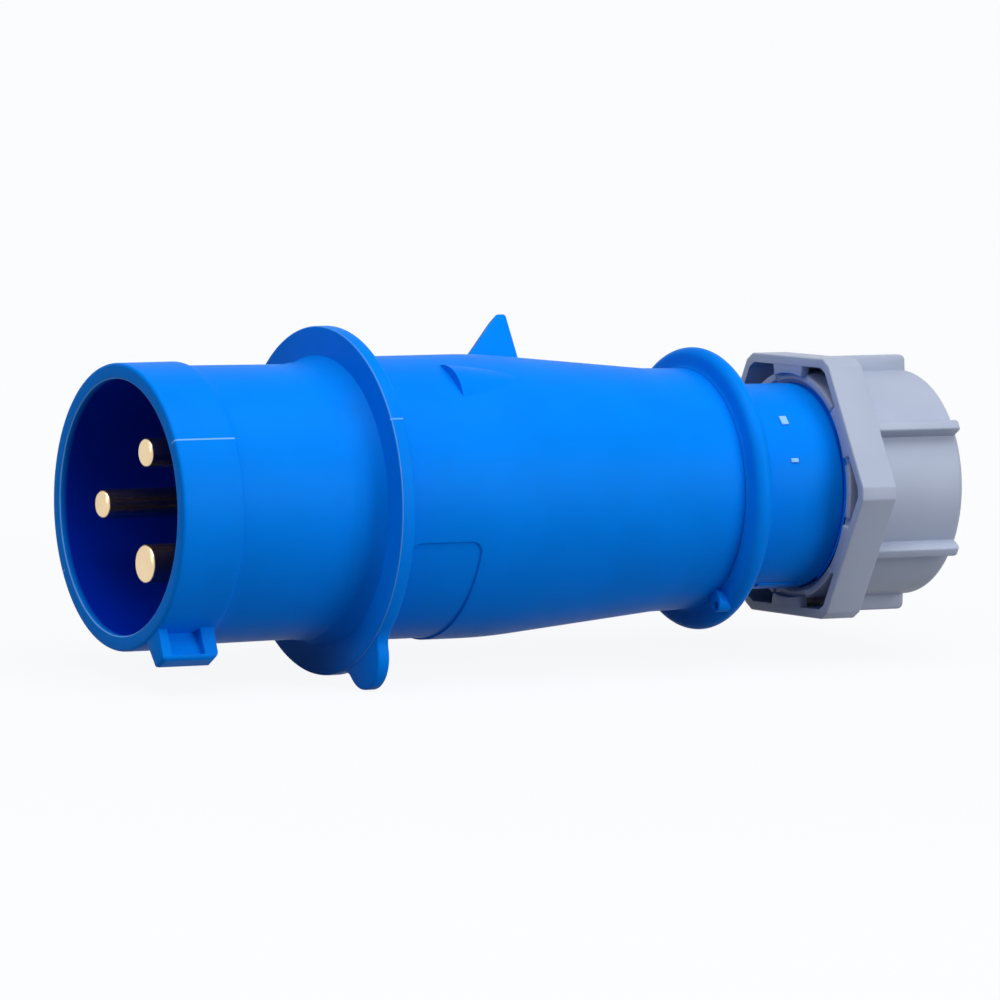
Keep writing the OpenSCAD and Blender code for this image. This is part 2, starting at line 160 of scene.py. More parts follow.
class PlugStage(bpy.types.PropertyGroup):
    camera_place: FloatVectorProperty(
        name="Camera place", description="Where the camera stands", unit="LENGTH",
        default=(-0.911551, -1.589736, 0.293982))
    camera_ahead: FloatVectorProperty(
        name="Camera direction", description="Where the camera looks", subtype="DIRECTION",
        default=(0.490518, 0.860041, -0.140435))
    camera_up: FloatVectorProperty(
        name="Camera up", description="Which way is up for the camera", subtype="DIRECTION",
        default=(0.029253, 0.144812, 0.989027))
    lens: FloatProperty(name="Lens", description="Focal length in millimetres", default=324.0)
    floor_colour: colour("Floor", "Colour of the floor in its own light", (0.25, 0.25, 0.26))
    backdrop_colour: colour("Backdrop", "White that the camera sees", (0.965, 0.973, 0.991))


# ---- making shapes ------------------------------------------------------

def arc(cx, cr, rad, a0, a1, n=8):
    """Points of an arc in the (x, r) plane, angles in degrees."""
    turn = [radians(a0 + (a1 - a0) * i / n) for i in range(n + 1)]
    return [(cx + rad * cos(t), cr + rad * sin(t)) for t in turn]


def line(x0, r0, x1, r1, step):
    """Points from one place to the next, no further apart than step, without the last."""
    n = max(1, ceil(sqrt((x1 - x0) ** 2 + (r1 - r0) ** 2) / step))
    return [(x0 + (x1 - x0) * i / n, r0 + (r1 - r0) * i / n) for i in range(n)]


def mm(points):
    return [(x * MM, r * MM) for x, r in points]


def at(x, r, a):
    """A point in the plug's own axes, at the angle a in degrees from the key."""
    return Vector((x, -r * sin(radians(a)), -r * cos(radians(a))))


def even_angles(n):
    return [360 * i / n for i in range(n)]


def object_from(bm, name):
    mesh = bpy.data.meshes.new(name)
    bm.to_mesh(mesh)
    bm.free()
    piece = bpy.data.objects.new(name, mesh)
    bpy.context.scene.collection.objects.link(piece)
    return piece


def turned(name, outline, angles, radius_at=None):
    """A closed outline of (x, r) spun about the axis. radius_at may shift a point."""
    bm = bmesh.new()
    rows = []
    for x, r in outline:
        rows.append([bm.verts.new(at(x, radius_at(x, r, a) if radius_at else r, a)) for a in angles])
    for i, row in enumerate(rows):
        following = rows[(i + 1) % len(rows)]
        for j in range(len(angles)):
            k = (j + 1) % len(angles)
            bm.faces.new((row[j], row[k], following[k], following[j]))
    bmesh.ops.remove_doubles(bm, verts=bm.verts, dist=1e-7)
    bmesh.ops.dissolve_degenerate(bm, edges=bm.edges, dist=1e-8)
    bmesh.ops.recalc_face_normals(bm, faces=bm.faces)
    return object_from(bm, name)


def plate(name, outline, half, a=0.0):
    """An outline of (x, r) with a thickness to each side, pointing to the angle a."""
    bm = bmesh.new()
    turn = Matrix.Rotation(-radians(a), 4, "X")
    sides = [[bm.verts.new(turn @ Vector((x, y, -r))) for x, r in outline] for y in (-half, half)]
    bm.faces.new(sides[0])
    bm.faces.new(list(reversed(sides[1])))
    for i in range(len(outline)):
        j = (i + 1) % len(outline)
        bm.faces.new((sides[0][i], sides[0][j], sides[1][j], sides[1][i]))
    bmesh.ops.recalc_face_normals(bm, faces=bm.faces)
    return object_from(bm, name)


def slab(name, x0, x1, outline):
    """A (y, z) outline with a length along the axis."""
    bm = bmesh.new()
    ends = [[bm.verts.new((x, y, z)) for y, z in outline] for x in (x0, x1)]
    bm.faces.new(ends[0])
    bm.faces.new(list(reversed(ends[1])))
    for i in range(len(outline)):
        j = (i + 1) % len(outline)
        bm.faces.new((ends[0][i], ends[0][j], ends[1][j], ends[1][i]))
    bmesh.ops.recalc_face_normals(bm, faces=bm.faces)
    return object_from(bm, name)


def sector(name, x0, x1, r0, r1, a, half, n=8):
    """Part of a ring, centred on the angle a."""
    turn = [a - half + 2 * half * i / n for i in range(n + 1)]
    points = [at(0, r1, t) for t in turn] + [at(0, r0, t) for t in reversed(turn)]
    return slab(name, x0, x1, [(p.y, p.z) for p in points])


def settled(piece):
    """Applies the modifiers of a piece and removes them."""
    graph = bpy.context.evaluated_depsgraph_get()
    graph.update()
    mesh = bpy.data.meshes.new_from_object(piece.evaluated_get(graph))
    piece.modifiers.clear()
    old = piece.data
    piece.data = mesh
    mesh.name = piece.name
    bpy.data.meshes.remove(old)
    return piece


def bevelled(piece, width, segments=3, limit=35):
    bevel = piece.modifiers.new("edges", "BEVEL")
    bevel.width = width
    bevel.segments = segments
    bevel.limit_method = "ANGLE"
    bevel.angle_limit = radians(limit)
    return settled(piece)


def cut(piece, *tools):
    for tool in tools:
        boolean = piece.modifiers.new("cut", "BOOLEAN")
        boolean.operation = "DIFFERENCE"
        boolean.object = tool
        boolean.solver = "EXACT"
        settled(piece)
        discard(tool)
    return piece


def common(piece, tool):
    boolean = piece.modifiers.new("common", "BOOLEAN")
    boolean.operation = "INTERSECT"
    boolean.object = tool
    boolean.solver = "EXACT"
    settled(piece)
    discard(tool)
    return piece


def discard(piece):
    mesh = piece.data
    bpy.data.objects.remove(piece)
    bpy.data.meshes.remove(mesh)


def joined(name, pieces):
    """Puts several meshes into one object."""
    bm = bmesh.new()
    for piece in pieces:
        bm.from_mesh(piece.data)
        discard(piece)
    return object_from(bm, name)


def placed(piece, body, *nodes, sharp=32, slot=None, material=None):
    mesh = piece.data
    mesh.transform(TO_FRAME)
    mesh.polygons.foreach_set("use_smooth", [True] * len(mesh.polygons))
    mesh.set_sharp_from_angle(angle=radians(sharp))
    if material:
        mesh.materials.clear()
        mesh.materials.append(material)
    mesh.update()
    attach(piece, body)
    if nodes:
        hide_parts(*nodes)
    return piece


# ---- Geometry Nodes ------------------------------------------------------

class Tree:
    """A small Geometry Nodes tree with named inputs."""

    def __init__(self, name):
        self.tree = bpy.data.node_groups.new(name, "GeometryNodeTree")
        self.tree.interface.new_socket("Geometry", in_out="INPUT", socket_type="NodeSocketGeometry")
        self.tree.interface.new_socket("Geometry", in_out="OUTPUT", socket_type="NodeSocketGeometry")
        self.entry = self.tree.nodes.new("NodeGroupInput")
        self.exit = self.tree.nodes.new("NodeGroupOutput")
        self.ids = {}

    def value(self, name, kind="NodeSocketFloat"):
        socket = self.tree.interface.new_socket(name, in_out="INPUT", socket_type=kind)
        self.ids[name] = socket.identifier
        return self.entry.outputs[name]

    def node(self, kind, **settings):
        node = self.tree.nodes.new(kind)
        for key, setting in settings.items():
            setattr(node, key, setting)
        return node

    def link(self, out, into):
        self.tree.links.new(out, into)

    def math(self, operation, first, second):
        node = self.node("ShaderNodeMath", operation=operation)
        for socket, given in zip(node.inputs, (first, second)):
            if isinstance(given, (int, float)):
                socket.default_value = given
            else:
                self.link(given, socket)
        return node.outputs[0]

    def finish(self, geometry, material):
        realize = self.node("GeometryNodeRealizeInstances")
        self.link(geometry, realize.inputs[0])
        paint = self.node("GeometryNodeSetMaterial")
        paint.inputs["Material"].default_value = material
        self.link(realize.outputs[0], paint.inputs[0])
        self.link(paint.outputs[0], self.exit.inputs[0])

    def run(self, piece, **values):
        modifier = piece.modifiers.new(self.tree.name, "NODES")
        modifier.node_group = self.tree
        for name, given in values.items():
            modifier[self.ids[name.replace("_", " ")]] = given
        return settled(piece)


def round_axis(piece, count, material):
    """Repeats a piece at even angles round the axis."""
    tree = Tree("round the axis")
    number = tree.value("Count", "NodeSocketInt")
    points = tree.node("GeometryNodeMeshLine", mode="OFFSET")
    tree.link(number, points.inputs["Count"])
    points.inputs["Offset"].default_value = (0, 0, 0)
    index = tree.node("GeometryNodeInputIndex")
    share = tree.math("DIVIDE", index.outputs[0], number)
    full_turn = tree.math("MULTIPLY", share, 2 * pi)
    rotation = tree.node("ShaderNodeCombineXYZ")
    tree.link(full_turn, rotation.inputs[0])
    copies = tree.node("GeometryNodeInstanceOnPoints")
    tree.link(points.outputs[0], copies.inputs["Points"])
    tree.link(tree.entry.outputs[0], copies.inputs["Instance"])
    tree.link(rotation.outputs[0], copies.inputs["Rotation"])
    tree.finish(copies.outputs[0], material)
    return tree.run(piece, Count=count)


def thread(name, start, radius, pitch, turns, material):
    """A right-hand ridge that winds along the axis."""
    tree = Tree("thread")
    core = tree.value("Radius")
    lead = tree.value("Pitch")
    number = tree.value("Turns")
    spiral = tree.node("GeometryNodeCurveSpiral")
    spiral.inputs["Resolution"].default_value = 96
    tree.link(number, spiral.inputs["Rotations"])
    tree.link(core, spiral.inputs["Start Radius"])
    tree.link(core, spiral.inputs["End Radius"])
    tree.link(tree.math("MULTIPLY", lead, number), spiral.inputs["Height"])
    upright = tree.node("GeometryNodeSetCurveNormal", mode="Z_UP")
    tree.link(spiral.outputs[0], upright.inputs[0])
    section = tree.node("GeometryNodeCurvePrimitiveQuadrilateral", mode="TRAPEZOID")
    section.inputs["Height"].default_value = 0.8 * MM
    section.inputs["Bottom Width"].default_value = 0.9 * MM
    section.inputs["Top Width"].default_value = 2.1 * MM
    section.inputs["Offset"].default_value = 0
    sweep = tree.node("GeometryNodeCurveToMesh")
    sweep.inputs["Fill Caps"].default_value = True
    tree.link(upright.outputs[0], sweep.inputs["Curve"])
    tree.link(section.outputs[0], sweep.inputs["Profile Curve"])
    tree.finish(sweep.outputs[0], material)
    piece = object_from(bmesh.new(), name)
    tree.run(piece, Radius=radius, Pitch=pitch, Turns=turns)
    piece.data.transform(Matrix.Translation((start, 0, 0)) @ Matrix.Rotation(pi / 2, 4, "Y"))
    return piece


# ---- materials -----------------------------------------------------------

class Paint:
    """A shader tree round one Principled BSDF, with patterns on Object coordinates."""

    def __init__(self, name, rgb, roughness, metallic=0.0, specular=0.5, coat=0.0):
        self.material = bpy.data.materials.new(name)
        self.material.use_nodes = True
        self.tree = self.material.node_tree
        self.shader = self.tree.nodes["Principled BSDF"]
        self.set("Base Color", (*rgb, 1))
        self.set("Roughness", roughness)
        self.set("Metallic", metallic)
        self.set("Specular IOR Level", specular)
        if coat:
            self.set("Coat Weight", coat)
        self.place = self.node("ShaderNodeTexCoord").outputs["Object"]
        self.heights = []

    def set(self, name, given):
        self.shader.inputs[name].default_value = given

    def node(self, kind, **settings):
        node = self.tree.nodes.new(kind)
        for key, setting in settings.items():
            setattr(node, key, setting)
        return node

    def link(self, out, into):
        self.tree.links.new(out, into)

    def math(self, operation, *given):
        node = self.node("ShaderNodeMath", operation=operation)
        for socket, one in zip(node.inputs, given):
            if isinstance(one, (int, float)):
                socket.default_value = one
            else:
                self.link(one, socket)
        return node.outputs[0]

    def noise(self, size, detail=3.0, stretch=(1, 1, 1)):
        """Noise whose grains measure about size metres."""
        mapping = self.node("ShaderNodeMapping")
        mapping.inputs["Scale"].default_value = stretch
        self.link(self.place, mapping.inputs["Vector"])
        texture = self.node("ShaderNodeTexNoise")
        texture.inputs["Scale"].default_value = 1 / size
        texture.inputs["Detail"].default_value = detail
        self.link(mapping.outputs[0], texture.inputs["Vector"])
        return texture.outputs["Fac"]

    def ramp(self, fac, low, high, first, last):
        """A colour or value that goes from first to last between low and high."""
        ramp = self.node("ShaderNodeValToRGB")
        points = ramp.color_ramp.elements
        points[0].position, points[1].position = low, high
        points[0].color, points[1].color = (*first, 1), (*last, 1)
        self.link(fac, ramp.inputs[0])
        return ramp.outputs[0]

    def spread(self, fac, low, high):
        node = self.node("ShaderNodeMapRange")
        node.inputs["To Min"].default_value = low
        node.inputs["To Max"].default_value = high
        self.link(fac, node.inputs["Value"])
        return node.outputs[0]

    def bump(self, height, depth, strength=1.0):
        """Adds relief, depth metres high."""
        node = self.node("ShaderNodeBump")
        node.inputs["Strength"].default_value = strength
        node.inputs["Distance"].default_value = depth
        self.link(height, node.inputs["Height"])
        if self.heights:
            self.link(self.heights[-1], node.inputs["Normal"])
        self.heights.append(node.outputs[0])
        self.link(node.outputs[0], self.shader.inputs["Normal"])

    def step(self, value, off, on):
        """A mask that goes from 0 to 1 as the value goes from off to on."""
        node = self.node("ShaderNodeMapRange")
        node.inputs["From Min"].default_value = off
        node.inputs["From Max"].default_value = on
        self.link(value, node.inputs["Value"])
        return node.outputs[0]

    def mix(self, mask, rgb):
        """Lays a colour over the base colour where the mask is 1."""
        node = self.node("ShaderNodeMix", data_type="RGBA")
        self.link(mask, node.inputs["Factor"])
        self.link(self.tone, node.inputs[6])
        node.inputs[7].default_value = (*rgb, 1)
        self.tone = node.outputs[2]
        self.link(self.tone, self.shader.inputs["Base Color"])

    def radius(self):
        """Distance of a surface point from the plug's axis."""
        across = self.node("ShaderNodeVectorMath", operation="MULTIPLY_ADD")
        self.link(self.place, across.inputs[0])
        across.inputs[1].default_value = (0, 1, 1)
        across.inputs[2].default_value = (0, 0, -AXIS_Z)
        size = self.node("ShaderNodeVectorMath", operation="LENGTH")
        self.link(across.outputs[0], size.inputs[0])
        return size.outputs["Value"]

    def dot(self, direction, origin):
        """Distance of a surface point from a plane."""
        shift = self.node("ShaderNodeVectorMath", operation="SUBTRACT")
        self.link(self.place, shift.inputs[0])
        shift.inputs[1].default_value = origin
        product = self.node("ShaderNodeVectorMath", operation="DOT_PRODUCT")
        self.link(shift.outputs[0], product.inputs[0])
        product.inputs[1].default_value = direction
        return product.outputs["Value"]


def shade(rgb, factor):
    return tuple(min(1, c * factor) for c in rgb)


def moulded(name, rgb, roughness, grain, specular=0.35):
    """Moulded plastic with a fine mould texture and soft colour variation."""
    paint = Paint(name, rgb, roughness, specular=specular)
    cloud = paint.noise(14 * MM, 2.0)
    paint.tone = paint.ramp(cloud, 0.35, 0.65, shade(rgb, 0.97), shade(rgb, 1.03))
    paint.link(paint.tone, paint.shader.inputs["Base Color"])
    paint.link(paint.spread(paint.noise(3 * MM), roughness - 0.05, roughness + 0.05),
               paint.shader.inputs["Roughness"])
    paint.bump(paint.noise(0.28 * MM, 2.0), grain * MM)
    return paint


def blue_plastic():
    """Blue plastic, with painted highlights on its flash and sharp edges, paler neck marks, and painted shade down
    in the shroud.
    """
    scene = bpy.context.scene
    c, h, s = scene.plug_colours, scene.plug_housing, scene.plug_rear
    paint = moulded("blue moulded plastic", c.blue, 0.42, 0.008, specular=0.02)
    x = paint.dot((1, 0, 0), (RIM_X, 0, 0))
    r = paint.radius()
    # painted shade down in the shroud, where light does not reach
    deep = paint.math("MULTIPLY", paint.step(x, 0.5 * MM, 1.6 * MM), paint.step(r, 26.0 * MM, 25.9 * MM))
    deep = paint.math("MULTIPLY", deep, paint.step(x, 47 * MM, 46 * MM))
    paint.mix(deep, c.painted_shade_blue)
    # painted highlight along the flash that the two halves of the mould leave
    key_way = Vector((0, -sin(ROLL), -cos(ROLL)))
    away = paint.math("ABSOLUTE", paint.dot(key_way, (0, 0, AXIS_Z)))
    flash = paint.math("MULTIPLY", paint.step(away, 0.2 * MM, 0.1 * MM),
                       paint.step(x, h.collar_len + 0.1 * MM, h.collar_len - 0.1 * MM))
    flash = paint.math("MULTIPLY", flash, paint.step(r, h.shroud_r - 0.6 * MM, h.shroud_r - 0.4 * MM))
    # painted highlight along the flash on the flange's rim
    brim = paint.math("MULTIPLY", paint.step(away, 0.2 * MM, 0.1 * MM),
                      paint.step(r, h.flange_r - 0.6 * MM, h.flange_r - 0.4 * MM))
    # painted highlights on sharp edges: inside of the rim, front of the flange
    rim = paint.math("MULTIPLY", paint.step(x, 0.28 * MM, 0.16 * MM),
                     paint.step(r, h.mouth_r + 0.32 * MM, h.mouth_r + 0.2 * MM))
    edge = paint.math("MULTIPLY", paint.step(r, h.flange_r - 0.25 * MM, h.flange_r - 0.12 * MM),
                      paint.step(x, h.flange_x + 0.3 * MM, h.flange_x + 0.22 * MM))
    # marks on the neck
    mark = paint.math("MULTIPLY", paint.step(r, s.neck_r + 0.1 * MM, s.neck_r + 0.2 * MM),
                      paint.step(x, 148.2 * MM, 148 * MM))
    mark = paint.math("MULTIPLY", mark, paint.step(x, 145 * MM, 145.2 * MM))
    height = paint.dot((0, 0, 1), (0, 0, AXIS_Z))
    mark = paint.math("MULTIPLY", mark, paint.step(height, -12 * MM, -11.8 * MM))
    # lays the painted highlights and the paler neck marks over the blue
    for pale, share in ((flash, 0.4), (brim, 0.3), (rim, 0.4), (edge, 0.2), (mark, 0.6)):
        paint.mix(paint.math("MULTIPLY", pale, share), c.highlight_and_mark_blue)
    return paint.material


def grey_plastic(name="grey moulded plastic"):
    c = bpy.context.scene.plug_colours
    return moulded(name, c.grey, 0.48, 0.014).material


def dark_plastic():
    c = bpy.context.scene.plug_colours
    return moulded("dark insulator plastic", c.dark, 0.45, 0.010).material


def turned_brass():
    c = bpy.context.scene.plug_colours
    paint = Paint("turned contact brass", c.brass, 0.24, metallic=1.0)
    tone = paint.ramp(paint.noise(5 * MM, 2.0), 0.35, 0.65, c.brass, shade(c.brass, 0.96))
    paint.link(tone, paint.shader.inputs["Base Color"])
    paint.link(paint.spread(paint.noise(2 * MM), 0.21, 0.27), paint.shader.inputs["Roughness"])
    paint.bump(paint.noise(0.22 * MM, 2.0, stretch=(1, 0.06, 0.06)), 0.003 * MM)
    return paint.material


def plated_steel():
    c = bpy.context.scene.plug_colours
    paint = Paint("zinc plated steel", c.steel, 0.34, metallic=1.0)
    spangle = paint.noise(0.7 * MM, 3.0)
    tone = paint.ramp(spangle, 0.3, 0.7, shade(c.steel, 0.9), shade(c.steel, 1.06))
    paint.link(tone, paint.shader.inputs["Base Color"])
    paint.link(paint.spread(spangle, 0.26, 0.42), paint.shader.inputs["Roughness"])
    paint.bump(paint.noise(0.15 * MM), 0.004 * MM)
    return paint.material


def soft_rubber():
    c = bpy.context.scene.plug_colours
    paint = Paint("black rubber", c.rubber, 0.62, specular=0.3)
    bloom = paint.noise(1.6 * MM, 4.0)
    tone = paint.ramp(bloom, 0.35, 0.75, c.rubber, shade(c.rubber, 1.8))
    paint.link(tone, paint.shader.inputs["Base Color"])
    paint.link(paint.spread(bloom, 0.55, 0.72), paint.shader.inputs["Roughness"])
    paint.bump(paint.noise(0.2 * MM), 0.02 * MM)
    return paint.material


def dress(node, material):
    """Gives a CAD node's own surface a material."""
    mesh = frame["nodes"][node].data
    mesh.materials.clear()
    mesh.materials.append(material)


# ---- front housing -------------------------------------------------------

def shell_outline(h):
    """Outline of the front housing: rim, shroud, flange, handle, and back inside."""
    mouth, collar, shroud, handle = (v / MM for v in (h.mouth_r, h.collar_r, h.shroud_r, h.handle_r))
    flange, fx, ft = h.flange_r / MM, h.flange_x / MM, h.flange_t / MM
    back, step = fx + ft, h.collar_len / MM
    floor, end = h.floor_x / MM, h.handle_end_r / MM
    out = arc(0.45, mouth + 0.45, 0.45, 270, 180, 5)
    out += arc(0.7, collar - 0.7, 0.7, 180, 90, 6)
    out += line(1.2, collar, step - 0.3, collar, 1.5)[1:]
    out += arc(step - 0.3, collar - 0.3, 0.3, 90, 0, 3)
    out += [(step + 0.02, shroud + 0.42), (step + 0.12, shroud + 0.3), (step + 0.4, shroud + 0.24)]
    out += line(16, shroud + 0.2, 34, shroud, 2.0)
    out += line(34, shroud, 40.5, shroud, 1.0)
    out += arc(40.62, shroud + 10.45, 10.2, -90, -59, 10)
    out += [(fx - 0.02, shroud + 1.52), (fx, shroud + 1.7)]
    out += line(fx, shroud + 2, fx, flange - 0.4, 1.2)
    out += arc(fx + 0.4, flange - 0.4, 0.4, 180, 90, 4)
    out += arc(back - 0.4, flange - 0.4, 0.4, 90, 0, 4)
    out += line(back, flange - 0.6, back, handle + 1.6, 1.2)
    out += arc(back + 1.5, handle + 1.5, 1.5, 180, 268, 8)
    # label panel and wedges want close rings
    out += line(back + 1.6, handle, 51.2, handle, 0.5)
    out += line(51.2, handle, 54.4, handle, 0.14)
    out += line(54.4, handle, 65.6, handle, 1.4)
    out += line(65.6, handle, 68.4, handle, 0.14)
    out += [(68.49, handle), (68.51, handle)]
    out += line(68.6, handle, 76, handle, 0.35)
    out += arc(76, handle - 125, 125, 90, 84.5, 26)
    last_x, last_r = out[-1]
    out += line(last_x, last_r, 122, end + 0.25, 1.5)[1:]
    out += line(122, end + 0.25, 131.7, end, 1.5)
    out += arc(131.7, end - 0.3, 0.3, 90, 0, 3)
    inner = [(132, 23.1), (131.7, 22.8), (117, 22.8), (114, 23.2), (88, handle - 3.4), (76, handle - 2.8),
             (back + 0.25, handle - 2.8), (back + 0.25, 18.3), (floor, 18.3)]
    inner += arc(floor - 1.2, mouth - 1.6, 1.2, 0, 90, 5)
    inner += line(floor - 2, mouth - 0.4, 0.6, mouth, 3.0)
    return mm(out + inner)


def wedge_radius(x, a, crest):
    """Radius of the slanting rod that forms a thumb wedge, or 0 beside it."""
    front, rod, slope = 68.5, 8.7, 7.2
    if x < front or x > front + 16 or abs(a) > 16:
        return 0
    tall = rod / cos(radians(slope))
    centre = crest - rod - tan(radians(slope)) * (x - front)
    c, s = cos(radians(a)), sin(radians(a))
    qa = (c / tall) ** 2 + (s / rod) ** 2
    qb = -2 * centre * c / tall ** 2
    qc = (centre / tall) ** 2 - 1
    room = qb * qb - 4 * qa * qc
    return (-qb + sqrt(room)) / (2 * qa) if room > 0 else 0


def panel_depth(x, a, h):
    """How deep the label panel lies under a point of the handle."""
    handle = h.handle_r / MM
    half_x, half_s = 8.4, handle * h.panel_half
    corner = 2.6
    dx = abs(x - 60.0) - (half_x - corner)
    ds = abs(handle * radians(a)) - (half_s - corner)
    outside = sqrt(max(dx, 0) ** 2 + max(ds, 0) ** 2)
    far = outside + min(max(dx, ds), 0) - corner
    share = min(max(0.5 - far / 0.3, 0), 1)
    return h.panel_depth / MM * share * share * (3 - 2 * share)


def near(a, middle):
    """Angle from a middle, between -180 and 180 degrees."""
    return (a - middle + 180) % 360 - 180


def wedge_angles(h):
    return degrees(h.wedge_a), 360 - degrees(h.wedge_a)


def housing_angles(h):
    edge = degrees(h.panel_half)
    corner = degrees(2.9 * MM / h.handle_r)
    angles = set(i * 2.0 for i in range(180))
    for side in (-1, 1):
        a = edge - corner
        while a < edge + 0.8:
            angles.add(round(side * a % 360, 3))
            a += 0.28
        angles.add(round(side * (edge - corner) % 360, 3))
    for middle in wedge_angles(h):
        angles.update(round(middle + i * 0.5, 3) for i in range(-28, 29))
    return sorted(angles)


def guide_key(h):
    """The key: it tapers to a round tip and has a pocket in each flank."""
    tip, half, root = h.key_r / MM, h.key_w / MM / 2, h.collar_r / MM - 1.2
    front, back, edge, draft, web = 0.3, 12.7, 1.0, 9, 0.95
    wide = half + (tip - edge - root) * tan(radians(draft))
    outline = [(front, root)] + arc(front + 0.8, tip - 0.8, 0.8, 180, 90, 6)
    outline += arc(back - 1.5, tip - 1.5, 1.5, 90, 0, 8) + [(back, root)]
    # (y, z) section across the key, pointing down
    section = arc(tip - edge, half - edge, edge, 90 - draft, 0, 6)
    section += arc(tip - edge, edge - half, edge, 0, draft - 90, 6)
    section = [(wide, -root)] + [(y, -r) for r, y in section] + [(-wide, -root)]
    key = slab("key", 0, 2 * back * MM, mm(section))
    shape = plate("shape", mm(outline), wide * 2 * MM)
    common(key, shape)
    pockets = []
    for side in (-1, 1):
        pocket = plate("pocket", mm([(2.2, root - 1), (2.4, tip - 1), (9.8, tip - 1), (9.6, root - 1)]), 3 * MM)
        pocket.data.transform(Matrix.Translation((0, side * (web + 3) * MM, 0)))
        pockets.append(bevelled(pocket, 0.25 * MM, 2))
    return bevelled(cut(key, *pockets), 0.22 * MM, 2)


def flange_ear(h):
    """The round ear of the flange with its fillets."""
    fillet = 4 * MM
    near_r, far_r = h.flange_r + fillet, h.lobe_r + fillet
    fz = (near_r ** 2 - far_r ** 2 + h.lobe_c ** 2) / (2 * h.lobe_c)
    fy = sqrt(near_r ** 2 - fz ** 2)
    # tangent points of the fillet on the flange and on the ear
    start = atan2(-fy, -fz)
    stop = atan2(-fy, h.lobe_c - fz)
    half = []
    for i in range(9):
        t = start + (stop - start) * i / 8
        half.append((fy + fillet * sin(t), fz + fillet * cos(t)))
    first = atan2(half[-1][0], half[-1][1] - h.lobe_c)
    for i in range(1, 15):
        t = first * (1 - i / 14)
        half.append((h.lobe_r * sin(t), h.lobe_c + h.lobe_r * cos(t)))
    outline = half + [(-y, z) for y, z in reversed(half[:-1])]
    outline += [(-half[0][0], h.handle_r - 2 * MM), (half[0][0], h.handle_r - 2 * MM)]
    ear = slab("ear", h.flange_x + 0.3 * MM, h.flange_x + h.flange_t - 0.03 * MM,
               [(y, -z) for y, z in outline])
    return bevelled(ear, 0.4 * MM)


def grip_fin(h):
    handle, tip = h.handle_r / MM, h.fin_r / MM
    outline = [(84.2, handle - 2.2), (97.9, tip - 0.1), (98.4, tip), (99.7, tip),
               (100.1, tip - 0.4), (100.2, handle - 4)]
    return bevelled(plate("fin", mm(outline), h.fin_t / 2, 180), 0.45 * MM)


class PLUG_OT_front_housing(bpy.types.Operator):
    """Shroud, guide key, flange with its ear, handle, grip fin and thumb wedges"""
    bl_idname = "plug.front_housing"
    bl_label = "Front housing"

    def execute(self, context):
        h = context.scene.plug_housing
        crest = (h.handle_r + h.wedge_h) / MM

        def radius_at(x, r, a):
            x, r = x / MM, r / MM
            if x > 51 and x < 85 and r > h.handle_r / MM - 1.5:
                for middle in wedge_angles(h):
                    r = max(r, wedge_radius(x, near(a, middle), crest))
                r -= panel_depth(x, near(a, 0), h)
            return r * MM

        shell = turned("shell", shell_outline(h), housing_angles(h), radius_at)
        whole = joined("front_moulding", [shell, guide_key(h), flange_ear(h), grip_fin(h)])
        placed(whole, "housing", "front_housing", slot="blue_plastic",
               material=bpy.data.materials["blue moulded plastic"])
        return {"FINISHED"}


# ---- rear housing --------------------------------------------------------

def rear_outline(s):
    x0, collar, neck = s.joint_x / MM, s.collar_r / MM, s.neck_r / MM
    core = neck - 0.85
    out = [(119, 20.4), (119, 22.2)] + arc(119.5, 22.2, 0.5, 180, 90, 3)
    out += [(127.8, 22.7), (127.8, 21.0), (129.8, 21.0), (129.8, 22.7), (x0, 22.7)]
    out += [(x0, 24.9), (x0 + 0.1, 25.2), (x0 + 0.3, 25.5)]
    out += line(x0 + 0.35, 25.7, x0 + 0.5, collar - 1.6, 0.8)
    out += arc(x0 + 2.45, collar - 2, 2, 165, 40, 12)
    out += line(x0 + 3.98, collar - 0.72, x0 + 5.4, 26.1, 0.5)[1:]
    out += line(x0 + 5.4, 26.1, 138.5, neck + 1.85, 0.5)
    out += arc(x0 + 9.4, neck + 3.2, 3.2, 205, 270, 10)
    out += line(x0 + 9.6, neck, 157.2, neck, 2.0)
    out += arc(157.2, neck - 0.85, 0.85, 90, 0, 4)[1:]
    out += line(158.1, core, 171.2, core, 3.0)
    out += [(172, core - 0.8), (172, 18.0), (150.2, 18.0), (150.2, 15), (147.5, 15), (142, 18.6),
            (122, 19.9)]
    return mm(out)


def release_boss(s):
    """Long boss on the collar's face with the hole for the release tool."""
    inner, outer, r, hole, hole_r, front = 26.0, 27.4, 1.9, 28.1, 0.95, 130.5
    around = arc(0, -inner, r, 180, 0, 10) + arc(0, -outer, r, 0, -180, 10)
    boss = slab("boss", front * MM, s.joint_x + 1.5 * MM, mm(around))
    drill = turned("drill", mm([(129, 0), (129, hole_r), (133, hole_r), (133, 0)]), even_angles(32))
    drill.data.transform(Matrix.Translation((0, 0, -hole * MM)))
    boss = cut(bevelled(boss, 0.35 * MM), drill)
    boss.data.transform(Matrix.Rotation(-radians(3), 4, "X"))
    return boss


